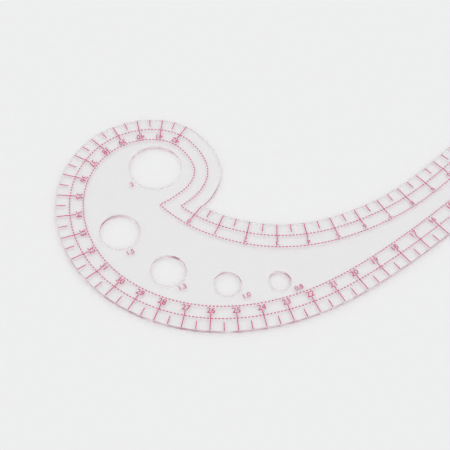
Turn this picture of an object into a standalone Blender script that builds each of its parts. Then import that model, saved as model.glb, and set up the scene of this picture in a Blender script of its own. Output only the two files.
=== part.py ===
"""French curve: a clear comma-shaped plate with compass holes and a printed scale on its upper face.

Units are metres and +Z is up. The plate lies flat on Z = 0, with its longest extent along X and the
middle of its bounding rectangle at the origin.
"""

import math

import bmesh
import bpy
import numpy as np

MM = 0.001

# Plate
THICKNESS = 1.5 * MM
OUTLINE_STEP = 2.0 * MM
HOLE_SIDES = 72

# Tail end: a round tip between two edges that close in on the tail's axis
TIP_CENTRE = (131.6 * MM, 23.4 * MM)
TIP_RADIUS = 5.0 * MM
TAIL_AXIS = math.radians(24.0)
TAIL_HALF_TAPER = math.radians(8.5)
TIP_SIDES = 14

# Sharp inner corner where the head's side meets the hollow edge, with each edge's heading there
NOTCH = (-82.0 * MM, 5.8 * MM)
HEAD_SIDE_HEADING = math.radians(200.0)
HOLLOW_HEADING = math.radians(-59.0)

# Past the notch the print's guide lines run on in arcs, until they meet
HEAD_RUN_ON_RADIUS = 60.0 * MM
HOLLOW_RUN_ON_RADIUS = 50.0 * MM
RUN_ON_CELLS = 4

# Points that the convex edge passes through, in millimetres, from the tail round the head
CONVEX_EDGE_MM = (
    (102.4, 0.5),
    (66.4, -17.3),
    (29.5, -32.0),
    (-8.8, -44.0),
    (-34.1, -50.1),
    (-58.8, -53.2),
    (-83.7, -50.8),
    (-106.6, -41.4),
    (-124.7, -24.3),
    (-134.3, -1.4),
    (-132.8, 23.3),
    (-122.0, 42.3),
    (-104.3, 53.2),
    (-85.6, 52.9),
    (-72.4, 44.3),
    (-67.2, 31.6),
    (-68.6, 17.7),
    (-74.5, 10.1),
)

# Points that the hollow edge passes through, in millimetres, from the notch to the tail
HOLLOW_EDGE_MM = (
    (-74.3, -3.5),
    (-63.1, -11.8),
    (-48.1, -17.3),
    (-30.2, -18.8),
    (-10.4, -16.5),
    (9.7, -10.4),
)

# Compass holes: diameter and centre of each
HOLE_20_DIAMETER = 20.0 * MM
HOLE_20_CENTRE = (-90.5 * MM, 29.5 * MM)
HOLE_15_DIAMETER = 15.0 * MM
HOLE_15_CENTRE = (-114.2 * MM, 7.4 * MM)
HOLE_13_DIAMETER = 13.0 * MM
HOLE_13_CENTRE = (-105.0 * MM, -15.4 * MM)
HOLE_10_DIAMETER = 10.0 * MM
HOLE_10_CENTRE = (-88.1 * MM, -29.0 * MM)
HOLE_8_DIAMETER = 8.0 * MM
HOLE_8_CENTRE = (-70.6 * MM, -35.5 * MM)

# Printed scale
INK_THICKNESS = 0.06 * MM
INK_STEP = 4.0 * MM
LINE_WIDTH = 0.35 * MM
TICK_WIDTH = 0.30 * MM
TICK_PITCH = 10.0 * MM
TICK_LENGTH = 7.2 * MM
NEAR_LINE_INSET = 5.0 * MM
FAR_LINE_INSET = 10.0 * MM
EDGE_MARGIN = 0.2 * MM
INK_GAP = 1.0 * MM
LAST_TICK_TO_NOTCH = 44.75 * MM
HOLLOW_SCALE_LEAD = 1.0 * MM


def clear_scene():
    """Remove whatever the scene holds."""
    for item in list(bpy.data.objects):
        bpy.data.objects.remove(item, do_unlink=True)


class Edge:
    """A smooth edge of the plate, measured by its length from one end."""

    def __init__(self, knots, start_direction, end_direction, start_bend=0.0, end_bend=0.0):
        """Fit a cubic spline through the knots, with arcs of a given bend past its two ends."""
        knots = np.asarray(knots, dtype=float)
        self.start_bend = start_bend
        self.end_bend = end_bend
        chords = np.hypot(*np.diff(knots, axis=0).T)
        self.stations = np.concatenate(([0.0], np.cumsum(chords)))
        self.knots = knots
        self.slopes = self._slopes(chords, start_direction, end_direction)
        fine = np.linspace(0.0, self.stations[-1], 40 * len(chords) + 1)
        points = self._position(fine)
        lengths = np.hypot(*np.diff(points, axis=0).T)
        self._fine = fine
        self._length_at = np.concatenate(([0.0], np.cumsum(lengths)))
        self.length = float(self._length_at[-1])

    def _slopes(self, chords, start_direction, end_direction):
        """Solve for the slope at each knot that keeps the curvature continuous."""
        count = len(self.knots)
        matrix = np.zeros((count, count))
        right = np.zeros((count, 2))
        steps = np.diff(self.knots, axis=0)
        for i in range(1, count - 1):
            before = chords[i - 1]
            after = chords[i]
            matrix[i, i - 1] = after
            matrix[i, i] = 2.0 * (before + after)
            matrix[i, i + 1] = before
            right[i] = 3.0 * (after / before * steps[i - 1] + before / after * steps[i])
        matrix[0, 0] = 1.0
        right[0] = start_direction
        matrix[-1, -1] = 1.0
        right[-1] = end_direction
        return np.linalg.solve(matrix, right)

    def _position(self, station):
        """Give the points at the spline stations."""
        station = np.asarray(station, dtype=float)
        span = np.clip(np.searchsorted(self.stations, station) - 1, 0, len(self.knots) - 2)
        chord = self.stations[span + 1] - self.stations[span]
        t = ((station - self.stations[span]) / chord)[:, None]
        chord = chord[:, None]
        start_weight = 2.0 * t**3 - 3.0 * t**2 + 1.0
        end_weight = 3.0 * t**2 - 2.0 * t**3
        start_slope = t**3 - 2.0 * t**2 + t
        end_slope = t**3 - t**2
        blend = start_weight * self.knots[span] + end_weight * self.knots[span + 1]
        return blend + chord * (start_slope * self.slopes[span] + end_slope * self.slopes[span + 1])

    def at(self, distance, inset=0.0):
        """Give the points at distances along the edge, set in from it towards the plate."""
        distance = np.atleast_1d(np.asarray(distance, dtype=float))
        inside = np.clip(distance, 0.0, self.length)
        station = np.interp(inside, self._length_at, self._fine)
        points = self._position(station)
        over = distance - inside
        turn = over * np.where(over < 0.0, self.start_bend, self.end_bend)
        along = self.direction(inside)
        chord = turned(along.T, turn / 2).T * (over * np.sinc(turn / (2 * math.pi)))[:, None]
        along = turned(along.T, turn).T
        across = np.stack((along[:, 1], -along[:, 0]), axis=1)
        return points + chord + across * inset

    def direction(self, distance):
        """Give the unit directions of travel at distances along the edge."""
        reach = 1e-4 * self.length
        station = np.interp(distance, self._length_at, self._fine)
        low = np.clip(station - reach, 0.0, self.stations[-1])
        high = np.clip(station + reach, 0.0, self.stations[-1])
        chord = self._position(high) - self._position(low)
        return chord / np.hypot(*chord.T)[:, None]

    def stops(self, step, start=0.0, end=None):
        """Divide a stretch of the edge into even steps."""
        end = self.length if end is None else end
        count = max(1, math.ceil((end - start) / step))
        return np.linspace(start, end, count + 1)


def turned(vector, angle):
    """Turn a plane vector by an angle, or many vectors by an angle each."""
    x, y = vector
    cosine = np.cos(angle)
    sine = np.sin(angle)
    return np.array((x * cosine - y * sine, x * sine + y * cosine))


def plate_edges():
    """Give the convex edge, the hollow edge and the tip's arc, with the plate on their right."""
    centre = np.array(TIP_CENTRE)
    seat = TIP_RADIUS * math.sin(TAIL_HALF_TAPER)
    half = TIP_RADIUS * math.cos(TAIL_HALF_TAPER)
    convex_end = centre + turned((seat, -half), TAIL_AXIS)
    hollow_end = centre + turned((seat, half), TAIL_AXIS)
    leaving = turned((-1.0, 0.0), TAIL_AXIS + TAIL_HALF_TAPER)
    arriving = turned((1.0, 0.0), TAIL_AXIS - TAIL_HALF_TAPER)
    convex_knots = np.vstack((convex_end, np.array(CONVEX_EDGE_MM) * MM, NOTCH))
    hollow_knots = np.vstack((NOTCH, np.array(HOLLOW_EDGE_MM) * MM, hollow_end))
    head_side = turned((1.0, 0.0), HEAD_SIDE_HEADING)
    hollow_start = turned((1.0, 0.0), HOLLOW_HEADING)
    convex = Edge(convex_knots, leaving, head_side, end_bend=-1.0 / HEAD_RUN_ON_RADIUS)
    hollow = Edge(hollow_knots, hollow_start, arriving, start_bend=1.0 / HOLLOW_RUN_ON_RADIUS)
    sweep = np.linspace(math.pi / 2 - TAIL_HALF_TAPER, TAIL_HALF_TAPER - math.pi / 2, TIP_SIDES + 1)
    spokes = TIP_RADIUS * np.stack((np.cos(sweep), np.sin(sweep)), axis=1)
    tip = np.array([centre + turned(spoke, TAIL_AXIS) for spoke in spokes])
    return convex, hollow, tip


def outline_points(convex, hollow, tip):
    """Give the plate's outline once round, clockwise from the tail."""
    round_head = convex.at(convex.stops(OUTLINE_STEP))
    back = hollow.at(hollow.stops(OUTLINE_STEP))
    return np.vstack((round_head, back[1:], tip[1:-1]))


def new_material(name, colour, roughness, transmission=0.0, ior=1.5):
    """Make a Principled material."""
    material = bpy.data.materials.new(name)
    material.use_nodes = True
    shader = material.node_tree.nodes["Principled BSDF"]
    shader.inputs["Base Color"].default_value = (*colour, 1.0)
    shader.inputs["Roughness"].default_value = roughness
    shader.inputs["Metallic"].default_value = 0.0
    shader.inputs["Transmission Weight"].default_value = transmission
    shader.inputs["IOR"].default_value = ior
    return material


def new_object(name, mesh_data, material):
    """Store a mesh under a name, with its material."""
    mesh = bpy.data.meshes.new(name)
    bmesh.ops.recalc_face_normals(mesh_data, faces=mesh_data.faces)
    mesh_data.to_mesh(mesh)
    mesh_data.free()
    if material is not None:
        mesh.materials.append(material)
    item = bpy.data.objects.new(name, mesh)
    bpy.context.scene.collection.objects.link(item)
    return item


def raise_faces(mesh_data, height):
    """Extrude every face straight up into a closed solid."""
    raised = bmesh.ops.extrude_face_region(mesh_data, geom=mesh_data.faces[:])
    moved = [part for part in raised["geom"] if isinstance(part, bmesh.types.BMVert)]
    for vertex in moved:
        vertex.co.z = height


def hole_cutter(name, centre, diameter):
    """Make a round cutter that runs past both faces of the plate."""
    mesh_data = bmesh.new()
    bmesh.ops.create_cone(
        mesh_data,
        cap_ends=True,
        segments=HOLE_SIDES,
        radius1=diameter / 2,
        radius2=diameter / 2,
        depth=3 * THICKNESS,
    )
    cutter = new_object(name, mesh_data, None)
    cutter.location = (*centre, THICKNESS / 2)
    cutter.hide_render = True
    cutter.display_type = "WIRE"
    return cutter


def make_plate(outline, shift, material):
    """Extrude the outline and cut the compass holes through it."""
    mesh_data = bmesh.new()
    corners = [mesh_data.verts.new((x, y, 0.0)) for x, y in outline]
    mesh_data.faces.new(corners)
    raise_faces(mesh_data, THICKNESS)
    plate = new_object("plate", mesh_data, material)
    holes = (
        ("hole_20", HOLE_20_CENTRE, HOLE_20_DIAMETER),
        ("hole_15", HOLE_15_CENTRE, HOLE_15_DIAMETER),
        ("hole_13", HOLE_13_CENTRE, HOLE_13_DIAMETER),
        ("hole_10", HOLE_10_CENTRE, HOLE_10_DIAMETER),
        ("hole_8", HOLE_8_CENTRE, HOLE_8_DIAMETER),
    )
    for name, centre, diameter in holes:
        cut = plate.modifiers.new(name, "BOOLEAN")
        cut.operation = "DIFFERENCE"
        cut.solver = "EXACT"
        cut.object = hole_cutter(name + "_cutter", np.array(centre) + shift, diameter)
    return plate


class InkSheet:
    """A flat film of ink on the plate's upper face, laid out along an edge and grown upwards."""

    def __init__(self):
        """Start with an empty film."""
        self.mesh_data = bmesh.new()
        self.corners = {}

    def corner(self, point):
        """Give the film's corner at a point, made once."""
        key = tuple(np.round(point, 8))
        if key not in self.corners:
            self.corners[key] = self.mesh_data.verts.new((*point, THICKNESS))
        return self.corners[key]

    def strip(self, left, right):
        """Add the cells between two rows of points."""
        for i in range(len(left) - 1):
            ring = (left[i], left[i + 1], right[i + 1], right[i])
            self.mesh_data.faces.new([self.corner(point) for point in ring])

    def finish(self, name, material):
        """Give the film its thickness and store it."""
        raise_faces(self.mesh_data, THICKNESS + INK_THICKNESS)
        return new_object(name, self.mesh_data, material)


def clear_stretch(edge, other, inset):
    """Give the stretch of an edge where a line at the inset keeps clear of the other edge's line."""
    stops = edge.stops(OUTLINE_STEP)
    line = edge.at(stops, inset)
    far_side = other.at(other.stops(OUTLINE_STEP))
    gaps = np.hypot(*(line[:, None, :] - far_side[None, :, :]).transpose(2, 0, 1)).min(axis=1)
    clear = gaps > inset + INK_GAP
    return stops[clear][0], stops[clear][-1]


def mitre_reach(convex, hollow, inset):
    """Give how far two inset lines run on past the notch until they meet, by Newton's steps."""
    reach = np.zeros(2)
    nudge = 0.01 * MM
    for _ in range(20):
        there = convex.at((convex.length + reach[0], convex.length + reach[0] + nudge), inset)
        back = hollow.at((-reach[1], -reach[1] - nudge), inset)
        slopes = np.stack((there[1] - there[0], back[0] - back[1]), axis=1) / nudge
        reach = reach + np.linalg.solve(slopes, back[0] - there[0])
    return reach


def scale_print(name, edge, start, end, ticks, material):
    """Print a guide line along an edge, crossed by ticks that start at the edge."""
    near_side = NEAR_LINE_INSET - LINE_WIDTH / 2
    far_side = NEAR_LINE_INSET + LINE_WIDTH / 2
    sides = np.concatenate((ticks - TICK_WIDTH / 2, ticks + TICK_WIDTH / 2))
    plain = edge.stops(INK_STEP, start, end)
    room = np.abs(plain[:, None] - ticks[None, :]).min(axis=1) > TICK_WIDTH
    stops = np.sort(np.concatenate((plain[room], sides)))
    sheet = InkSheet()
    sheet.strip(edge.at(stops, near_side), edge.at(stops, far_side))
    for tick in ticks:
        pair = np.array((tick - TICK_WIDTH / 2, tick + TICK_WIDTH / 2))
        sheet.strip(edge.at(pair, EDGE_MARGIN), edge.at(pair, near_side))
        sheet.strip(edge.at(pair, far_side), edge.at(pair, TICK_LENGTH))
    return sheet.finish(name, material)


def far_line_print(name, convex, hollow, material):
    """Print the far guide line round the head and back along the hollow edge."""
    start = clear_stretch(convex, hollow, FAR_LINE_INSET)[0]
    end = clear_stretch(hollow, convex, FAR_LINE_INSET)[1]
    rows = []
    for inset in (FAR_LINE_INSET - LINE_WIDTH / 2, FAR_LINE_INSET + LINE_WIDTH / 2):
        past, before = mitre_reach(convex, hollow, inset)
        there = convex.at(convex.stops(INK_STEP, start, convex.length), inset)
        run_on = convex.at(convex.length + np.linspace(0.0, past, RUN_ON_CELLS + 1)[1:], inset)
        run_back = hollow.at(np.linspace(-before, 0.0, RUN_ON_CELLS + 1)[1:-1], inset)
        back = hollow.at(hollow.stops(INK_STEP, 0.0, end), inset)
        rows.append(np.vstack((there, run_on, run_back, back)))
    sheet = InkSheet()
    sheet.strip(rows[0], rows[1])
    return sheet.finish(name, material)


def make_print(convex, hollow, material):
    """Print both scales and the far guide line."""
    past, before = mitre_reach(convex, hollow, NEAR_LINE_INSET)
    start = clear_stretch(convex, hollow, TICK_LENGTH)[0]
    end = convex.length + past - LINE_WIDTH
    last = convex.length - LAST_TICK_TO_NOTCH
    count = math.floor((last - start - TICK_WIDTH) / TICK_PITCH)
    ticks = last - TICK_PITCH * np.arange(count, -1, -1)
    scale_print("convex_scale_print", convex, start, end, ticks, material)
    start = INK_GAP - before
    end = clear_stretch(hollow, convex, TICK_LENGTH)[1]
    count = math.floor((end + HOLLOW_SCALE_LEAD - TICK_WIDTH) / TICK_PITCH)
    ticks = np.maximum(TICK_PITCH * np.arange(0, count + 1) - HOLLOW_SCALE_LEAD, 0.0)
    scale_print("hollow_scale_print", hollow, start, end, ticks, material)
    far_line_print("far_line_print", convex, hollow, material)


def main():
    """Build the plate and its print, with the middle of the outline over the origin."""
    clear_scene()
    clear_plastic = new_material("clear_plastic", (0.93, 0.94, 0.94), 0.04, transmission=1.0, ior=1.49)
    crimson_ink = new_material("crimson_ink", (0.60, 0.05, 0.17), 0.45)
    convex, hollow, tip = plate_edges()
    outline = outline_points(convex, hollow, tip)
    shift = -(outline.min(axis=0) + outline.max(axis=0)) / 2
    convex.knots = convex.knots + shift
    hollow.knots = hollow.knots + shift
    make_plate(outline + shift, shift, clear_plastic)
    make_print(convex, hollow, crimson_ink)


main()
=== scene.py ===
"""Looks of a clear comma-shaped french curve.

Builds the polished plate, its crimson print and a plain studio.
"""

import logging
import math
from dataclasses import dataclass, field
from enum import Enum
from typing import Any, Optional, Sequence, Union

import bmesh
import bpy
import numpy as np
from mathutils import Matrix, Vector
from mathutils.geometry import tessellate_polygon


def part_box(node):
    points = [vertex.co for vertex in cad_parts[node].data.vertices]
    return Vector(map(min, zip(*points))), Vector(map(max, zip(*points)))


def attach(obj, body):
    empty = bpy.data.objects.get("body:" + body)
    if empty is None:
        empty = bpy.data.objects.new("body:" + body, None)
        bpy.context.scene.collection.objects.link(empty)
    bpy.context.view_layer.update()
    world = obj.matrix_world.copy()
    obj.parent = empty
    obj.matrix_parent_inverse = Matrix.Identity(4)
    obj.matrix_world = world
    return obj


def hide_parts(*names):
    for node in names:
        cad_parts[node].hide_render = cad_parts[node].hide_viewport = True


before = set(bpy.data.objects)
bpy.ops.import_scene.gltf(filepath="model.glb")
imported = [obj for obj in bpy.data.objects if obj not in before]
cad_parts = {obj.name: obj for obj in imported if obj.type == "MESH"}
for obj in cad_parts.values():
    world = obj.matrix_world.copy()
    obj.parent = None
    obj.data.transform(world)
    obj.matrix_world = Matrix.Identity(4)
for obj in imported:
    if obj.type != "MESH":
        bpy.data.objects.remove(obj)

LOG = logging.getLogger("french_curve")
MM = 0.001
SHARP_ANGLE = math.radians(40.0)
Colour = tuple[float, float, float]


class Part(str, Enum):
    """CAD nodes that the dressed pieces stand for."""

    PLATE = "plate"
    CONVEX_SCALE = "convex_scale_print"
    HOLLOW_SCALE = "hollow_scale_print"
    FAR_LINE = "far_line_print"


class Slot(str, Enum):
    """Material slots of the record."""

    PLASTIC = "clear_plastic"
    INK = "crimson_ink"


class Layer(int, Enum):
    """The order of printing, lowest first."""

    TICKS = 0
    LINES = 1
    FIGURES = 2


# Shader building


@dataclass
class Value:
    """A number that varies over a surface, written with Python's operators."""

    book: "NodeBook"
    socket: bpy.types.NodeSocket

    def _math(self, operation: str, first: Any, second: Any) -> "Value":
        """Add one Math node.

        Args:
            operation: The Math node's operation.
            first: The first value or number.
            second: The second value or number.

        Returns:
            The node's result.
        """
        settings = {"operation": operation}
        node = self.book.make("ShaderNodeMath", settings, {0: first, 1: second})
        return Value(self.book, node.outputs[0])

    def __add__(self, other: Any) -> "Value":
        """Sum."""
        return self._math("ADD", self, other)

    def __radd__(self, other: Any) -> "Value":
        """Sum, reflected."""
        return self._math("ADD", other, self)

    def __mul__(self, other: Any) -> "Value":
        """Product."""
        return self._math("MULTIPLY", self, other)

    def __rmul__(self, other: Any) -> "Value":
        """Product, reflected."""
        return self._math("MULTIPLY", other, self)

    def __pow__(self, other: Any) -> "Value":
        """Power."""
        return self._math("POWER", self, other)


class NodeBook:
    """The node tree of one material or of the world, with one method that makes any node."""

    def __init__(self, tree: bpy.types.NodeTree) -> None:
        """Empty the tree.

        Args:
            tree: The node tree to write.
        """
        self.tree = tree
        tree.nodes.clear()

    def make(
        self,
        kind: str,
        settings: Optional[dict[str, Any]] = None,
        sockets: Optional[dict[Union[str, int], Any]] = None,
    ) -> bpy.types.Node:
        """Make a node, set it up and wire it.

        Args:
            kind: The node's type name.
            settings: Properties to set first; "stops" holds a ramp's (place, colour) pairs.
            sockets: Values, sockets or numbers for the inputs, by name or number.

        Returns:
            The node.
        """
        node = self.tree.nodes.new(kind)
        for name, value in (settings or {}).items():
            if name == "stops":
                self._set_stops(node, value)
            else:
                setattr(node, name, value)
        for key, value in (sockets or {}).items():
            target = node.inputs[key]
            if isinstance(value, Value):
                value = value.socket
            if isinstance(value, bpy.types.NodeSocket):
                self.tree.links.new(value, target)
            else:
                target.default_value = value
        return node

    @staticmethod
    def _set_stops(node: bpy.types.Node, stops: Sequence[tuple[float, Colour]]) -> None:
        """Write a colour ramp's stops.

        Args:
            node: The ramp.
            stops: The place and the colour of each stop.
        """
        elements = node.color_ramp.elements
        while len(elements) > 1:
            elements.remove(elements[-1])
        elements[0].position = stops[0][0]
        elements[0].color = (*stops[0][1], 1.0)
        for place, colour in stops[1:]:
            element = elements.new(place)
            element.color = (*colour, 1.0)

    def noise(self, place: bpy.types.NodeSocket, scale: float, detail: float) -> Value:
        """Make a cloudy pattern from 0 to 1.

        Args:
            place: The coordinates.
            scale: How many clouds there are in a metre.
            detail: How many finer layers it has.

        Returns:
            The pattern.
        """
        sockets = {"Vector": place, "Scale": scale, "Detail": detail}
        return Value(self, self.make("ShaderNodeTexNoise", sockets=sockets).outputs["Fac"])

    def ramp(
        self, value: Value, span: tuple[float, float], low: Colour, high: Colour
    ) -> bpy.types.NodeSocket:
        """Turn a value into a colour.

        Args:
            value: The value.
            span: The values at which the colour starts and ends to change.
            low: The colour up to the span's start.
            high: The colour from the span's end.

        Returns:
            The colour.
        """
        settings = {"stops": tuple(zip(span, (low, high)))}
        return self.make("ShaderNodeValToRGB", settings, {"Fac": value}).outputs["Color"]

    def object_place(self) -> bpy.types.NodeSocket:
        """Give the Object coordinates."""
        return self.make("ShaderNodeTexCoord").outputs["Object"]

    def bump(self, height: Value, strength: float, distance: float) -> bpy.types.NodeSocket:
        """Turn a height pattern into a normal.

        Args:
            height: The pattern.
            strength: The bump's strength.
            distance: The height of a full step, in metres.

        Returns:
            The normal.
        """
        sockets = {"Height": height, "Strength": strength, "Distance": distance}
        return self.make("ShaderNodeBump", sockets=sockets).outputs["Normal"]

    def principled(self, sockets: dict[str, Any]) -> bpy.types.NodeSocket:
        """Make a Principled shader.

        Args:
            sockets: Values, sockets or numbers for its inputs.

        Returns:
            The shader.
        """
        return self.make("ShaderNodeBsdfPrincipled", sockets=sockets).outputs["BSDF"]

    def surface(self, shader: bpy.types.NodeSocket) -> None:
        """Give the material its surface.

        Args:
            shader: The shader.
        """
        self.make("ShaderNodeOutputMaterial", sockets={"Surface": shader})


def new_book(name: str) -> tuple[bpy.types.Material, NodeBook]:
    """Make an empty material.

    Args:
        name: The material's name.

    Returns:
        The material and its node book.
    """
    material = bpy.data.materials.new(name)
    material.use_nodes = True
    return material, NodeBook(material.node_tree)


@dataclass(frozen=True)
class PolishedFace:
    """Clear polished sheet, with a faint tint and fine handling marks."""

    name: str = "polished_clear_plastic"
    tint_low: Colour = (0.960, 0.955, 0.958)
    tint_high: Colour = (0.966, 0.960, 0.963)
    tint_span: tuple[float, float] = (0.3, 0.7)
    roughness: float = 0.012
    haze: float = 0.03
    haze_power: float = 4.0
    ior: float = 1.49
    ripple_scale: float = 26.0
    ripple_detail: float = 2.0
    mark_scale: float = 900.0
    mark_detail: float = 4.0

    def material(self) -> bpy.types.Material:
        """Make the material.

        Returns:
            The material.
        """
        material, book = new_book(self.name)
        place = book.object_place()
        cloud = book.noise(place, self.ripple_scale, self.ripple_detail)
        marks = book.noise(place, self.mark_scale, self.mark_detail)
        shader = book.principled(
            {
                "Base Color": book.ramp(cloud, self.tint_span, self.tint_low, self.tint_high),
                "Roughness": self.roughness + self.haze * marks**self.haze_power,
                "IOR": self.ior,
                "Transmission Weight": 1.0,
            }
        )
        book.surface(shader)
        return material


@dataclass(frozen=True)
class CutEdge:
    """The cut wall of the sheet: rough clear plastic, under a little frosted haze whose ink hue is
    a painted reflection of the crimson print.
    """

    name: str = "hazy_cut_edge_painted_ink_reflection"
    tint_low: Colour = (0.883, 0.868, 0.878)
    tint_high: Colour = (0.914, 0.905, 0.913)
    tint_span: tuple[float, float] = (0.3, 0.7)
    roughness: float = 0.28
    roughness_spread: float = 0.08
    # The haze's pink colour is a painted reflection of the crimson ink seen inside the sheet; its
    # roughness stands for the frosted cut.
    haze_low: Colour = (0.86, 0.72, 0.77)
    haze_high: Colour = (0.94, 0.82, 0.86)
    haze_roughness: float = 0.7
    haze_roughness_spread: float = 0.3
    haze_share: float = 0.08
    haze_depth: float = 0.6
    ior: float = 1.49
    mark_scale: float = 2600.0
    mark_detail: float = 3.0

    def material(self) -> bpy.types.Material:
        """Make the material.

        Returns:
            The material.
        """
        material, book = new_book(self.name)
        marks = book.noise(book.object_place(), self.mark_scale, self.mark_detail)
        clear = book.principled(
            {
                "Base Color": book.ramp(marks, self.tint_span, self.tint_low, self.tint_high),
                "Roughness": self.roughness + self.roughness_spread * marks,
                "IOR": self.ior,
                "Transmission Weight": 1.0,
            }
        )
        # Frosted haze layer: real roughness, with a painted reflection of the crimson ink as its
        # colour.
        haze = book.principled(
            {
                "Base Color": book.ramp(marks, self.tint_span, self.haze_low, self.haze_high),
                "Roughness": self.haze_roughness + self.haze_roughness_spread * marks,
                "IOR": self.ior,
                "Transmission Weight": self.haze_depth,
            }
        )
        # Mix the clear wall with a small share of the haze that carries the painted ink
        # reflection.
        mix = book.make("ShaderNodeMixShader", sockets={0: self.haze_share, 1: clear, 2: haze})
        book.surface(mix.outputs["Shader"])
        return material


@dataclass(frozen=True)
class ScreenInk:
    """Crimson screen ink, a little uneven in cover and satin on top."""

    name: str = "crimson_screen_ink"
    thin: Colour = (0.66, 0.050, 0.215)
    full: Colour = (0.56, 0.022, 0.150)
    cover_span: tuple[float, float] = (0.35, 0.65)
    cover_scale: float = 1400.0
    cover_detail: float = 3.0
    roughness: float = 0.42
    roughness_spread: float = 0.15
    relief: float = 0.25
    relief_height: float = 0.02 * MM

    def material(self) -> bpy.types.Material:
        """Make the material.

        Returns:
            The material.
        """
        material, book = new_book(self.name)
        cover = book.noise(book.object_place(), self.cover_scale, self.cover_detail)
        shader = book.principled(
            {
                "Base Color": book.ramp(cover, self.cover_span, self.full, self.thin),
                "Roughness": self.roughness + self.roughness_spread * cover,
                "Normal": book.bump(cover, self.relief, self.relief_height),
            }
        )
        book.surface(shader)
        return material


@dataclass(frozen=True)
class TableTop:
    """Pale matt table top with a barely seen grain."""

    name: str = "pale_table_top"
    low: Colour = (0.853, 0.856, 0.860)
    high: Colour = (0.861, 0.864, 0.867)
    grain_span: tuple[float, float] = (0.3, 0.7)
    grain_scale: float = 320.0
    grain_detail: float = 2.0
    roughness: float = 0.9

    def material(self) -> bpy.types.Material:
        """Make the material.

        Returns:
            The material.
        """
        material, book = new_book(self.name)
        grain = book.noise(book.object_place(), self.grain_scale, self.grain_detail)
        shader = book.principled(
            {
                "Base Color": book.ramp(grain, self.grain_span, self.low, self.high),
                "Roughness": self.roughness,
                "Specular IOR Level": 0.0,
            }
        )
        book.surface(shader)
        return material


# Plane curves


class Edge:
    """A smooth edge, measured by its length from one end, with the plate on its right."""

    SAMPLES_PER_SPAN = 60
    DIRECTION_REACH = 1e-4

    def __init__(
        self,
        knots: np.ndarray,
        start_direction: np.ndarray,
        end_direction: np.ndarray,
        start_bend: float = 0.0,
        end_bend: float = 0.0,
    ) -> None:
        """Fit a cubic spline with continuous curvature, and an arc past each end.

        Args:
            knots: The points that the edge passes through.
            start_direction: The unit direction at the first point.
            end_direction: The unit direction at the last point.
            start_bend: The arc's turn per metre before the first point, positive to the left.
            end_bend: The arc's turn per metre past the last point.
        """
        chords = np.hypot(*np.diff(knots, axis=0).T)
        self.knots = knots
        self.bends = (start_bend, end_bend)
        self.stations = np.concatenate(([0.0], np.cumsum(chords)))
        self.slopes = self._slopes(chords, start_direction, end_direction)
        samples = self.SAMPLES_PER_SPAN * len(chords) + 1
        self._fine = np.linspace(0.0, self.stations[-1], samples)
        lengths = np.hypot(*np.diff(self._position(self._fine), axis=0).T)
        self._length_at = np.concatenate(([0.0], np.cumsum(lengths)))
        self.length = float(self._length_at[-1])

    def _slopes(self, chords: np.ndarray, start: np.ndarray, end: np.ndarray) -> np.ndarray:
        """Solve the three-term equations for the slope at each knot.

        Args:
            chords: The straight distances between knots.
            start: The first direction.
            end: The last direction.

        Returns:
            The slope at each knot.
        """
        steps = np.diff(self.knots, axis=0)
        before = chords[:-1]
        after = chords[1:]
        count = len(self.knots)
        matrix = np.zeros((count, count))
        right = np.zeros((count, 2))
        row = np.arange(1, count - 1)
        matrix[row, row - 1] = after
        matrix[row, row] = 2.0 * (before + after)
        matrix[row, row + 1] = before
        ratio = (after / before)[:, None]
        right[1:-1] = 3.0 * (ratio * steps[:-1] + steps[1:] / ratio)
        matrix[0, 0] = matrix[-1, -1] = 1.0
        right[0] = start
        right[-1] = end
        return np.linalg.solve(matrix, right)

    def _position(self, station: np.ndarray) -> np.ndarray:
        """Blend each span's end points and end slopes with Hermite's four cubics.

        Args:
            station: Places along the chords.

        Returns:
            The points.
        """
        span = np.clip(np.searchsorted(self.stations, station) - 1, 0, len(self.knots) - 2)
        chord = (self.stations[span + 1] - self.stations[span])[:, None]
        t = (station - self.stations[span])[:, None] / chord
        ends = (2 * t**3 - 3 * t**2 + 1) * self.knots[span]
        ends = ends + (3 * t**2 - 2 * t**3) * self.knots[span + 1]
        lean = (t**3 - 2 * t**2 + t) * self.slopes[span]
        lean = lean + (t**3 - t**2) * self.slopes[span + 1]
        return ends + chord * lean

    def direction(self, distance: np.ndarray) -> np.ndarray:
        """Give the unit directions of travel.

        Args:
            distance: Distances along the edge.

        Returns:
            The directions.
        """
        station = np.interp(distance, self._length_at, self._fine)
        reach = self.DIRECTION_REACH * self.stations[-1]
        low = self._position(np.clip(station - reach, 0.0, self.stations[-1]))
        high = self._position(np.clip(station + reach, 0.0, self.stations[-1]))
        return (high - low) / np.hypot(*(high - low).T)[:, None]

    def at(self, distance: np.ndarray, inset: float = 0.0) -> np.ndarray:
        """Give points along the edge, moved square to it towards the plate.

        Past an end the edge is an arc: its chord is the run times sin(h) / h, where h is half
        the arc's turn, and points h away from the end's direction.

        Args:
            distance: Distances along the edge.
            inset: How far inside the edge the points lie.

        Returns:
            The points.
        """
        distance = np.atleast_1d(np.asarray(distance, dtype=float))
        inside = np.clip(distance, 0.0, self.length)
        over = distance - inside
        turn = over * np.where(over < 0.0, self.bends[0], self.bends[1])
        along = self.direction(inside)
        chord = turned(along, turn / 2) * (over * np.sinc(turn / (2 * math.pi)))[:, None]
        along = turned(along, turn)
        across = np.stack((along[:, 1], -along[:, 0]), axis=1)
        station = np.interp(inside, self._length_at, self._fine)
        return self._position(station) + chord + across * inset

    def stops(self, step: float, start: float = 0.0, end: Optional[float] = None) -> np.ndarray:
        """Divide a stretch of the edge into even steps.

        Args:
            step: The longest step.
            start: Where the stretch starts.
            end: Where it ends; the edge's own end if not given.

        Returns:
            The distances.
        """
        end = self.length if end is None else end
        return np.linspace(start, end, max(1, math.ceil((end - start) / step)) + 1)


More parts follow.
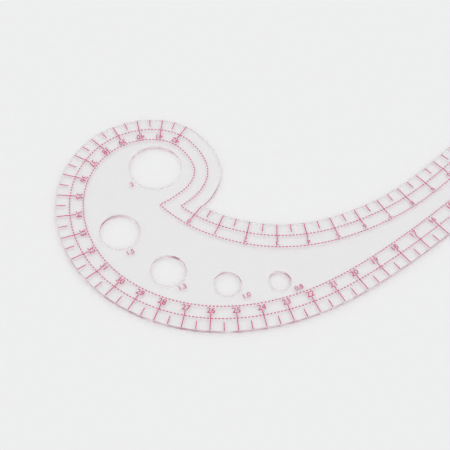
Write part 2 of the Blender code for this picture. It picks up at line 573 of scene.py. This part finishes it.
def turned(vector: Any, angle: Any) -> np.ndarray:
    """Turn plane vectors: x' = x cos - y sin and y' = x sin + y cos.

    Args:
        vector: One vector, or rows of them.
        angle: The angle in radians, or one for each row.

    Returns:
        The turned vectors.
    """
    x, y = np.asarray(vector, dtype=float).T
    cosine, sine = np.cos(angle), np.sin(angle)
    return np.stack((x * cosine - y * sine, x * sine + y * cosine), axis=-1)


@dataclass
class FaceGroup:
    """Faces of one corner count that share a shading and a material."""

    cells: np.ndarray
    smooth: bool = False
    material: int = 0


def store_mesh(name: str, points: np.ndarray, groups: Sequence[FaceGroup]) -> bpy.types.Object:
    """Store a mesh as an object at the origin.

    Args:
        name: The piece's name.
        points: The vertices.
        groups: The faces.

    Returns:
        The object.
    """
    mesh = bpy.data.meshes.new(name)
    cells = [cell for group in groups for cell in group.cells.tolist()]
    mesh.from_pydata(points.tolist(), [], cells)
    mesh.set_sharp_from_angle(angle=SHARP_ANGLE)
    sizes = [len(group.cells) for group in groups]
    smooth = np.array([group.smooth for group in groups])
    material = np.array([group.material for group in groups])
    mesh.polygons.foreach_set("use_smooth", np.repeat(smooth, sizes))
    mesh.polygons.foreach_set("material_index", np.repeat(material, sizes))
    mesh.update()
    piece = bpy.data.objects.new(name, mesh)
    bpy.context.scene.collection.objects.link(piece)
    return piece


# The plate


@dataclass
class CurvePlate:
    """The clear plate: a comma outline with a round tail tip, five holes and eased edges.

    The tip, the notch, the knots and the holes, each a diameter and a centre, are in
    millimetres. The other sizes are in metres.
    """

    thickness: float = 1.5 * MM
    edge_ease: float = 0.04 * MM
    ease_steps: int = 3
    ease_hold: float = 0.04 * MM
    outline_step: float = 0.4 * MM
    hole_sides: int = 256
    tip_sides: int = 32
    tip_centre: tuple[float, float] = (131.6, 23.4)
    tip_radius: float = 5.0
    tail_axis: float = math.radians(24.0)
    tail_half_taper: float = math.radians(8.5)
    notch: tuple[float, float] = (-82.0, 5.8)
    head_side_heading: float = math.radians(200.0)
    hollow_heading: float = math.radians(-59.0)
    head_run_on_radius: float = 60.0 * MM
    hollow_run_on_radius: float = 50.0 * MM
    convex_knots: tuple[tuple[float, float], ...] = (
        (102.4, 0.5),
        (66.4, -17.3),
        (29.5, -32.0),
        (-8.8, -44.0),
        (-34.1, -50.1),
        (-58.8, -53.2),
        (-83.7, -50.8),
        (-106.6, -41.4),
        (-124.7, -24.3),
        (-134.3, -1.4),
        (-132.8, 23.3),
        (-122.0, 42.3),
        (-104.3, 53.2),
        (-85.6, 52.9),
        (-72.4, 44.3),
        (-67.2, 31.6),
        (-68.6, 17.7),
        (-74.5, 10.1),
    )
    hollow_knots: tuple[tuple[float, float], ...] = (
        (-74.3, -3.5),
        (-63.1, -11.8),
        (-48.1, -17.3),
        (-30.2, -18.8),
        (-10.4, -16.5),
        (9.7, -10.4),
    )
    holes: tuple[tuple[float, float, float], ...] = (
        (20.0, -90.5, 29.5),
        (15.0, -114.2, 7.4),
        (13.0, -105.0, -15.4),
        (10.0, -88.1, -29.0),
        (8.0, -70.6, -35.5),
    )
    shift: np.ndarray = field(init=False)
    convex: Edge = field(init=False)
    hollow: Edge = field(init=False)
    outline: np.ndarray = field(init=False)

    def __post_init__(self) -> None:
        """Draw the outline and centre it on the frame's plate."""
        centre = np.array(self.tip_centre) * MM
        seat = self.tip_radius * MM * math.sin(self.tail_half_taper)
        half = self.tip_radius * MM * math.cos(self.tail_half_taper)
        convex_end = centre + turned((seat, -half), self.tail_axis)
        hollow_end = centre + turned((seat, half), self.tail_axis)
        notch = np.array(self.notch) * MM
        convex_points = np.vstack((convex_end, np.array(self.convex_knots) * MM, notch))
        hollow_points = np.vstack((notch, np.array(self.hollow_knots) * MM, hollow_end))
        leaving = turned((-1.0, 0.0), self.tail_axis + self.tail_half_taper)
        arriving = turned((1.0, 0.0), self.tail_axis - self.tail_half_taper)
        head_side = turned((1.0, 0.0), self.head_side_heading)
        hollow_start = turned((1.0, 0.0), self.hollow_heading)
        run_on = -1.0 / self.head_run_on_radius
        run_back = 1.0 / self.hollow_run_on_radius
        quarter = math.pi / 2 - self.tail_half_taper
        sweep = np.linspace(quarter, -quarter, self.tip_sides + 1)[1:-1]
        spokes = self.tip_radius * MM * np.stack((np.cos(sweep), np.sin(sweep)), axis=1)
        tip = centre + turned(spokes, self.tail_axis)
        raw = self._once_round(
            Edge(convex_points, leaving, head_side),
            Edge(hollow_points, hollow_start, arriving),
            tip,
        )
        low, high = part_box(Part.PLATE.value)
        middle = np.array(((low[0] + high[0]) / 2, (low[1] + high[1]) / 2))
        self.shift = middle - (raw.min(axis=0) + raw.max(axis=0)) / 2
        convex_points, hollow_points = convex_points + self.shift, hollow_points + self.shift
        self.convex = Edge(convex_points, leaving, head_side, end_bend=run_on)
        self.hollow = Edge(hollow_points, hollow_start, arriving, start_bend=run_back)
        self.outline = raw + self.shift

    def _once_round(self, convex: Edge, hollow: Edge, tip: np.ndarray) -> np.ndarray:
        """Join the edges and the tip's arc.

        Args:
            convex: The convex edge, from the tail to the notch.
            hollow: The hollow edge, from the notch to the tail.
            tip: The tip's arc without its ends.

        Returns:
            The outline, clockwise.
        """
        there = convex.at(convex.stops(self.outline_step))
        back = hollow.at(hollow.stops(self.outline_step))
        return np.vstack((there, back[1:], tip))

    def loops(self) -> list[np.ndarray]:
        """Give the outline and the holes.

        Returns:
            The corners of each loop, with the material on its right.
        """
        sweep = np.linspace(0.0, 2 * math.pi, self.hole_sides, endpoint=False)
        ring = np.stack((np.cos(sweep), np.sin(sweep)), axis=1)
        circles = [
            np.array((x, y)) * MM + self.shift + diameter / 2 * MM * ring
            for diameter, x, y in self.holes
        ]
        return [self.outline, *circles]

    def section(self) -> np.ndarray:
        """Draw the wall's profile: two quarter rounds, each held on a little, and a straight wall.

        Returns:
            Rows of inset and height, from the lower face to the upper.
        """
        turn = np.linspace(0.0, math.pi / 2, self.ease_steps + 1)
        inset = np.append(self.edge_ease * (1.0 - np.sin(turn)), 0.0)
        height = np.append(self.edge_ease * (1.0 - np.cos(turn)), self.edge_ease + self.ease_hold)
        lower = np.stack((inset, height), axis=1)
        upper = np.stack((inset[::-1], self.thickness - height[::-1]), axis=1)
        return np.vstack((lower, upper))

    @staticmethod
    def inward(loop: np.ndarray) -> np.ndarray:
        """Give each corner's mitred direction into the material, on the loop's right.

        Args:
            loop: The corners.

        Returns:
            One vector for each corner, long enough to move both its sides by one.
        """
        after = np.roll(loop, -1, axis=0) - loop
        after /= np.hypot(*after.T)[:, None]
        normal = np.stack((after[:, 1], -after[:, 0]), axis=1)
        both = normal + np.roll(normal, 1, axis=0)
        return 2.0 * both / (both * both).sum(axis=1)[:, None]

    def wall(self, loop: np.ndarray) -> tuple[np.ndarray, np.ndarray]:
        """Carry the wall's profile round a loop.

        Point (i, j) is loop(j) + inset(i) * inward(j) in plan, at height(i).

        Args:
            loop: The loop's corners.

        Returns:
            The points by row and corner, and the cells' corners, facing away from the material.
        """
        section = self.section()
        rows, count = len(section), len(loop)
        plan = loop[None] + section[:, None, :1] * self.inward(loop)[None]
        height = np.broadcast_to(section[:, 1:, None], (rows, count, 1))
        low = np.arange(rows * count).reshape(rows, count)
        after = np.roll(low, -1, axis=1)
        cells = np.stack((after[:-1], low[:-1], low[1:], after[1:]), axis=2)
        return np.concatenate((plan, height), axis=2), cells.reshape(-1, 4)

    @staticmethod
    def cap(rims: Sequence[np.ndarray]) -> np.ndarray:
        """Fill the area between the outline and the holes with triangles that face up.

        Args:
            rims: The loops' rim points.

        Returns:
            The triangles' corners, numbered through all loops.
        """
        loops = [[Vector(point) for point in rim.tolist()] for rim in rims]
        cells = np.array(tessellate_polygon(loops), dtype=int)
        corner = np.vstack(rims)[cells][..., :2]
        first, second = corner[:, 1] - corner[:, 0], corner[:, 2] - corner[:, 0]
        under = first[:, 0] * second[:, 1] < first[:, 1] * second[:, 0]
        cells[under] = cells[under][:, ::-1]
        return cells

    def build(self, face: PolishedFace, cut: CutEdge) -> bpy.types.Object:
        """Make the walls and the two faces.

        Args:
            face: The finish of the two faces.
            cut: The finish of the walls.

        Returns:
            The plate.
        """
        walls = [self.wall(loop) for loop in self.loops()]
        counts = np.array([points.shape[1] for points, _ in walls])
        rows = len(self.section())
        first = np.concatenate(([0], np.cumsum(rows * counts)[:-1]))
        cells = np.vstack([start + cell for start, (_, cell) in zip(first, walls)])
        bottom = np.concatenate([start + np.arange(count) for start, count in zip(first, counts)])
        top = bottom + np.repeat((rows - 1) * counts, counts)
        upper = top[self.cap([points[-1] for points, _ in walls])]
        lower = bottom[self.cap([points[0] for points, _ in walls])][:, ::-1]
        points = np.vstack([points.reshape(-1, 3) for points, _ in walls])
        faces = FaceGroup(np.vstack((upper, lower)))
        sides = FaceGroup(cells, smooth=True, material=1)
        plate = store_mesh("clear_plate", points, (faces, sides))
        plate.data.materials.append(face.material())
        plate.data.materials.append(cut.material())
        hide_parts(Part.PLATE.value)
        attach(plate, "root")
        return plate


# The print


@dataclass
class InkFilm:
    """Flat shapes of ink, raised into thin closed films on the plate's upper face."""

    floor: float
    thickness: float
    points: list[np.ndarray] = field(default_factory=list)
    faces: list[np.ndarray] = field(default_factory=list)
    count: int = 0

    def add_shapes(self, shapes: np.ndarray) -> None:
        """Raise shapes of one corner count: a bottom face, a top face and one wall per side.

        Args:
            shapes: Corners of the shapes, in an array of shape, corner and plane coordinate.
        """
        number, corners = shapes.shape[:2]
        level = np.full((number, corners, 1), self.floor)
        bottom = np.concatenate((shapes, level), axis=2)
        top = np.concatenate((shapes, level + self.thickness), axis=2)
        first = self.count + 2 * corners * np.arange(number)[:, None]
        ring = np.arange(corners)
        after = np.roll(ring, -1)
        walls = np.stack((ring, after, after + corners, ring + corners), axis=1)
        self.faces += [first + ring[::-1], first + ring + corners]
        self.faces.append((first[:, :, None] + walls[None]).reshape(-1, 4))
        self.points.append(np.concatenate((bottom, top), axis=1).reshape(-1, 3))
        self.count += number * 2 * corners

    def add_mesh(self, points: np.ndarray, faces: np.ndarray) -> None:
        """Add a ready mesh, such as a numeral.

        Args:
            points: The vertices.
            faces: The corners of each face.
        """
        self.faces.append(self.count + faces)
        self.points.append(points)
        self.count += len(points)

    def finish(
        self, name: str, material: bpy.types.Material, node: Optional[Part] = None
    ) -> bpy.types.Object:
        """Store the film as a piece of the part, with its faces turned outwards.

        Args:
            name: The piece's name.
            material: The ink.
            node: The CAD node that it stands for, if any.

        Returns:
            The piece.
        """
        groups = [FaceGroup(cells) for cells in self.faces]
        piece = store_mesh(name, np.vstack(self.points), groups)
        mesh_data = bmesh.new()
        mesh_data.from_mesh(piece.data)
        bmesh.ops.recalc_face_normals(mesh_data, faces=mesh_data.faces)
        mesh_data.to_mesh(piece.data)
        mesh_data.free()
        piece.data.materials.append(material)
        if node is not None:
            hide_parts(node.value)
        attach(piece, "root")
        return piece


@dataclass
class NumeralSet:
    """Plain sans numerals cut from the built-in typeface, scaled to a cap height."""

    thickness: float
    curve_steps: int = 3
    half_depth: float = 0.5
    merge_distance: float = 1e-4

    def __post_init__(self) -> None:
        """Start with no numerals cut."""
        self._cut: dict[str, tuple[np.ndarray, np.ndarray]] = {}

    def cut(self, words: str) -> tuple[np.ndarray, np.ndarray]:
        """Make the mesh of a numeral, one unit tall, one deep and centred, cut once.

        Args:
            words: The figures.

        Returns:
            The vertices and the triangles.
        """
        if words in self._cut:
            return self._cut[words]
        curve = bpy.data.curves.new("numeral", "FONT")
        curve.body = words
        curve.extrude = self.half_depth
        curve.resolution_u = self.curve_steps
        item = bpy.data.objects.new("numeral", curve)
        bpy.context.scene.collection.objects.link(item)
        bpy.context.view_layer.update()
        shape = item.evaluated_get(bpy.context.evaluated_depsgraph_get()).to_mesh()
        mesh_data = bmesh.new()
        mesh_data.from_mesh(shape)
        bmesh.ops.remove_doubles(mesh_data, verts=mesh_data.verts, dist=self.merge_distance)
        mesh = bpy.data.meshes.new("numeral")
        mesh_data.to_mesh(mesh)
        mesh_data.free()
        mesh.calc_loop_triangles()
        points = np.empty(3 * len(mesh.vertices))
        mesh.vertices.foreach_get("co", points)
        points = points.reshape(-1, 3)
        faces = np.empty(3 * len(mesh.loop_triangles), dtype=int)
        mesh.loop_triangles.foreach_get("vertices", faces)
        low, high = points.min(axis=0), points.max(axis=0)
        points[:, :2] = (points[:, :2] - (low[:2] + high[:2]) / 2) / (high[1] - low[1])
        points[:, 2] = (points[:, 2] - low[2]) / (high[2] - low[2])
        bpy.data.objects.remove(item, do_unlink=True)
        bpy.data.curves.remove(curve)
        bpy.data.meshes.remove(mesh)
        self._cut[words] = (points, faces.reshape(-1, 3))
        return self._cut[words]

    def place(
        self, film: InkFilm, words: str, height: float, middle: np.ndarray, up: np.ndarray
    ) -> None:
        """Lay a numeral on the plate.

        Args:
            film: The film that takes it.
            words: The figures.
            height: The figures' height.
            middle: The middle of the figures.
            up: The unit direction of the figures' tops.
        """
        points, faces = self.cut(words)
        right = np.array((up[1], -up[0]))
        plan = middle + height * (points[:, :1] * right + points[:, 1:2] * up)
        rise = film.floor + self.thickness * points[:, 2:]
        film.add_mesh(np.concatenate((plan, rise), axis=1), faces)


@dataclass
class PrintedScale:
    """The print: two centimetre scales, two dashed guide lines and the holes' diameters.

    The centres of the labels are in millimetres, the other sizes in metres.
    """

    plate: CurvePlate
    ink_thickness: float = 0.06 * MM
    seat: float = -0.01 * MM
    layer_step: float = 0.004 * MM
    pitch: float = 10.0 * MM
    long_tick: float = 7.2 * MM
    short_tick: float = 3.5 * MM
    tick_width: float = 0.30 * MM
    edge_margin: float = 0.15 * MM
    line_insets: tuple[float, float] = (5.0 * MM, 10.0 * MM)
    line_width: float = 0.36 * MM
    dash_pitch: float = 1.31 * MM
    dash_length: float = 0.76 * MM
    line_gap: float = 0.8 * MM
    last_centimetre: int = 42
    last_tick_to_notch: float = 44.75 * MM
    hollow_scale_lead: float = 1.0 * MM
    convex_numeral: float = 2.2 * MM
    convex_numeral_inset: float = 8.3 * MM
    hollow_numeral: float = 2.0 * MM
    hollow_numeral_inset: float = 8.4 * MM
    search_step: float = 1.0 * MM
    path_step: float = 0.5 * MM
    corner_nudge: float = 0.01 * MM
    corner_tries: int = 20
    label_height: float = 1.9 * MM
    labels: tuple[tuple[str, float, float], ...] = (
        ("2", -102.6, 25.0),
        ("1.5", -114.9, -3.1),
        ("1.3", -104.0, -24.4),
        ("1.0", -84.8, -36.8),
        ("0.8", -66.5, -41.4),
    )

    def film(self, layer: Layer) -> InkFilm:
        """Start a film on the plate's upper face.

        Args:
            layer: Its place in the order of printing, so that crossing films share no face.

        Returns:
            The film.
        """
        floor = self.plate.thickness + self.seat + layer.value * self.layer_step
        return InkFilm(floor, self.ink_thickness)

    def clear_stops(self, edge: Edge, other: Edge, inset: float) -> tuple[float, float]:
        """Find where a line at an inset keeps clear of the line along the other edge.

        Args:
            edge: The edge that the line follows.
            other: The opposite edge.
            inset: The line's inset.

        Returns:
            The first and the last distance along the edge.
        """
        stops = edge.stops(self.search_step)
        line = edge.at(stops, inset)
        across = other.at(other.stops(self.search_step))
        gap = np.hypot(*(line[:, None] - across[None]).transpose(2, 0, 1)).min(axis=1)
        clear = stops[gap > inset + self.line_gap]
        return float(clear[0]), float(clear[-1])

    def corner_reach(self, inset: float) -> np.ndarray:
        """Find by Newton's steps how far the two lines run on past the notch until they meet.

        Args:
            inset: The lines' inset.

        Returns:
            The run past the convex edge's end and the run before the hollow edge's start.
        """
        convex, hollow = self.plate.convex, self.plate.hollow
        reach = np.zeros(2)
        nudge = np.array((0.0, self.corner_nudge))
        for _ in range(self.corner_tries):
            there = convex.at(convex.length + reach[0] + nudge, inset)
            back = hollow.at(-reach[1] - nudge, inset)
            slopes = np.stack((there[1] - there[0], back[0] - back[1]), axis=1) / nudge[1]
            reach = reach + np.linalg.solve(slopes, back[0] - there[0])
        return reach

    def guide_path(self, inset: float) -> np.ndarray:
        """Follow both edges at one inset, meeting in a sharp corner beside the notch.

        Args:
            inset: The line's inset.

        Returns:
            The line's points.
        """
        convex, hollow = self.plate.convex, self.plate.hollow
        past, before = self.corner_reach(inset)
        start = self.clear_stops(convex, hollow, inset)[0]
        end = self.clear_stops(hollow, convex, inset)[1]
        there = convex.at(convex.stops(self.path_step, start, convex.length + past), inset)
        back = hollow.at(hollow.stops(self.path_step, -before, end), inset)
        return np.vstack((there, back[1:]))

    def dashes(self, inset: float) -> np.ndarray:
        """Cut a guide line into dashes: each is a short bent strip of three stations.

        Args:
            inset: The line's inset.

        Returns:
            The dashes' corners.
        """
        path = self.guide_path(inset)
        length = np.concatenate(([0.0], np.cumsum(np.hypot(*np.diff(path, axis=0).T))))
        start = np.arange(0.0, length[-1] - self.dash_length, self.dash_pitch)
        stops = start[:, None] + self.dash_length * np.array((0.0, 0.5, 1.0))[None]
        spine = np.stack([np.interp(stops, length, path[:, axis]) for axis in (0, 1)], axis=2)
        along = spine[:, 2:] - spine[:, :1]
        along = along / np.hypot(along[..., 0], along[..., 1])[..., None]
        across = np.stack((-along[..., 1], along[..., 0]), axis=2) * self.line_width / 2
        return np.concatenate((spine + across, (spine - across)[:, ::-1]), axis=1)

    def ticks(self, edge: Edge, places: np.ndarray, length: float) -> np.ndarray:
        """Draw ticks square to an edge.

        Args:
            edge: The edge.
            places: Distances along it.
            length: How far the ticks reach from it.

        Returns:
            The ticks' corners.
        """
        root = edge.at(places, self.edge_margin)
        tip = edge.at(places, length)
        along = edge.direction(np.clip(places, 0.0, edge.length)) * self.tick_width / 2
        return np.stack((root - along, root + along, tip + along, tip - along), axis=1)

    def scale(self, edge: Edge, places: np.ndarray, room: tuple[float, float]) -> np.ndarray:
        """Draw a scale's ticks, with long ones only where the plate is wide enough.

        Args:
            edge: The edge.
            places: Distances of the half-centimetre ticks, the first one on a centimetre.
            room: The stretch of the edge that has room for long ticks.

        Returns:
            The ticks' corners.
        """
        whole = np.arange(len(places)) % 2 == 0
        whole &= (places >= room[0]) & (places <= room[1])
        long_ticks = self.ticks(edge, places[whole], self.long_tick)
        short_ticks = self.ticks(edge, places[~whole], self.short_tick)
        return np.concatenate((long_ticks, short_ticks))

    def build(self, ink: ScreenInk) -> list[bpy.types.Object]:
        """Print the scales, the guide lines and the figures.

        Args:
            ink: The ink.

        Returns:
            The printed pieces.
        """
        convex, hollow = self.plate.convex, self.plate.hollow
        material = ink.material()
        numerals = NumeralSet(self.ink_thickness)
        figures = self.film(Layer.FIGURES)

        last = convex.length - self.last_tick_to_notch
        halves = np.arange(0, math.floor(last / (self.pitch / 2)))
        places = last - self.pitch / 2 * halves
        room = self.clear_stops(convex, hollow, self.long_tick + self.convex_numeral)
        convex_film = self.film(Layer.TICKS)
        convex_film.add_shapes(self.scale(convex, places, room))
        for number, place in zip(range(self.last_centimetre, -1, -1), places[::2]):
            if place > room[0]:
                self._number(figures, numerals, convex, place, str(number), True)

        end = self.clear_stops(hollow, convex, self.long_tick + self.hollow_numeral)[1]
        hollow_places = np.arange(0.0, hollow.length, self.pitch / 2) - self.hollow_scale_lead
        hollow_places = np.maximum(hollow_places, 0.0)
        hollow_film = self.film(Layer.TICKS)
        hollow_film.add_shapes(self.scale(hollow, hollow_places, (0.0, end)))
        for number, place in enumerate(hollow_places[::2]):
            if place < end:
                self._number(figures, numerals, hollow, place, str(number), False)

        lines = self.film(Layer.LINES)
        for inset in self.line_insets:
            lines.add_shapes(self.dashes(inset))

        marks = self.film(Layer.FIGURES)
        upright = np.array((0.0, 1.0))
        for words, x, y in self.labels:
            middle = np.array((x, y)) * MM
            numerals.place(marks, words, self.label_height, middle, upright)

        return [
            convex_film.finish("convex_scale_ticks", material, Part.CONVEX_SCALE),
            hollow_film.finish("hollow_scale_ticks", material, Part.HOLLOW_SCALE),
            lines.finish("guide_line_dashes", material, Part.FAR_LINE),
            figures.finish("scale_numerals", material),
            marks.finish("hole_diameter_marks", material),
        ]

    def _number(
        self,
        film: InkFilm,
        numerals: NumeralSet,
        edge: Edge,
        place: float,
        words: str,
        outer: bool,
    ) -> None:
        """Set a number at the end of its tick, with its foot towards the edge.

        Args:
            film: The film that takes it.
            numerals: The numerals.
            edge: The edge of its scale.
            place: The tick's distance along the edge.
            words: The number.
            outer: Whether it belongs to the convex scale.
        """
        inset = self.convex_numeral_inset if outer else self.hollow_numeral_inset
        height = self.convex_numeral if outer else self.hollow_numeral
        along = edge.direction(np.array((place,)))[0]
        up = np.array((along[1], -along[0]))
        numerals.place(film, words, height, edge.at(place, inset)[0], up)


# The studio


@dataclass
class Studio:
    """A pale table under a soft dome of light, seen from the photograph's place."""

    floor_drop: float = 0.08 * MM
    floor_reach: float = 3.0
    camera_place: tuple[float, float, float] = (-200.56 * MM, -235.24 * MM, 362.5 * MM)
    heading: float = math.radians(28.0)
    elevation: float = math.radians(54.30)
    roll: float = math.radians(-3.14)
    focal_pixels: float = 1212.8
    image_pixels: float = 450.0
    sensor: float = 36.0
    clip: tuple[float, float] = (0.01, 20.0)
    dome_low: Colour = (0.65, 0.65, 0.65)
    dome_high: Colour = (1.175, 1.175, 1.175)
    dome_span: tuple[float, float] = (0.0, 1.0)
    dome_strength: float = 1.0
    light_bounces: int = 64

    def build_floor(self, finish: TableTop) -> bpy.types.Object:
        """Lay the table top just under the plate.

        Args:
            finish: The table's finish.

        Returns:
            The floor.
        """
        reach = self.floor_reach
        corners = np.array(((-reach, -reach), (reach, -reach), (reach, reach), (-reach, reach)))
        points = np.concatenate((corners, np.full((4, 1), -self.floor_drop)), axis=1)
        floor = store_mesh("table_top", points, [FaceGroup(np.arange(4)[None])])
        floor.data.materials.append(finish.material())
        return floor

    def build_light(self) -> None:
        """Hang a soft dome, brightest overhead, and let light run on inside the sheet."""
        world = bpy.data.worlds.new("studio_dome")
        bpy.context.scene.world = world
        world.use_nodes = True
        book = NodeBook(world.node_tree)
        place = book.make("ShaderNodeTexCoord").outputs["Generated"]
        parts = book.make("ShaderNodeSeparateXYZ", sockets={"Vector": place})
        rise = Value(book, parts.outputs["Z"])
        colour = book.ramp(rise, self.dome_span, self.dome_low, self.dome_high)
        sockets = {"Color": colour, "Strength": self.dome_strength}
        light = book.make("ShaderNodeBackground", sockets=sockets)
        book.make("ShaderNodeOutputWorld", sockets={"Surface": light.outputs["Background"]})
        paths = bpy.context.scene.cycles
        paths.blur_glossy = 0.0
        paths.max_bounces = self.light_bounces
        paths.glossy_bounces = self.light_bounces
        paths.transmission_bounces = self.light_bounces

    def build_camera(self) -> bpy.types.Object:
        """Set the camera where the scale marks of the photograph put it.

        Returns:
            The camera.
        """
        flat = np.array((math.sin(self.heading), math.cos(self.heading), 0.0))
        side = np.array((math.cos(self.heading), -math.sin(self.heading), 0.0))
        above = np.array((0.0, 0.0, 1.0))
        ahead = math.cos(self.elevation) * flat - math.sin(self.elevation) * above
        down = -math.sin(self.elevation) * flat - math.cos(self.elevation) * above
        right = math.cos(self.roll) * side + math.sin(self.roll) * down
        lower = math.cos(self.roll) * down - math.sin(self.roll) * side
        matrix = np.eye(4)
        matrix[:3, 0] = right
        matrix[:3, 1] = -lower
        matrix[:3, 2] = -ahead
        matrix[:3, 3] = self.camera_place
        data = bpy.data.cameras.new("photo_camera")
        data.sensor_width = self.sensor
        data.lens = self.focal_pixels / self.image_pixels * self.sensor
        data.clip_start, data.clip_end = self.clip
        camera = bpy.data.objects.new("photo_camera", data)
        camera.matrix_world = Matrix(matrix.tolist())
        bpy.context.scene.collection.objects.link(camera)
        bpy.context.scene.camera = camera
        return camera


def main() -> None:
    """Build the plate, its print and the studio, and log the pieces' names, with the face counts
    of the print.
    """
    logging.basicConfig(level=logging.INFO, format="%(name)s: %(message)s")
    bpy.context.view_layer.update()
    bpy.context.scene.view_settings.view_transform = "Standard"
    plate = CurvePlate()
    LOG.info("%s", plate.build(PolishedFace(), CutEdge()).name)
    for piece in PrintedScale(plate).build(ScreenInk()):
        LOG.info("%s: %d faces", piece.name, len(piece.data.polygons))
    studio = Studio()
    LOG.info("%s", studio.build_floor(TableTop()).name)
    studio.build_light()
    LOG.info("%s", studio.build_camera().name)
    bpy.context.view_layer.update()


if __name__ == "__main__":
    main()
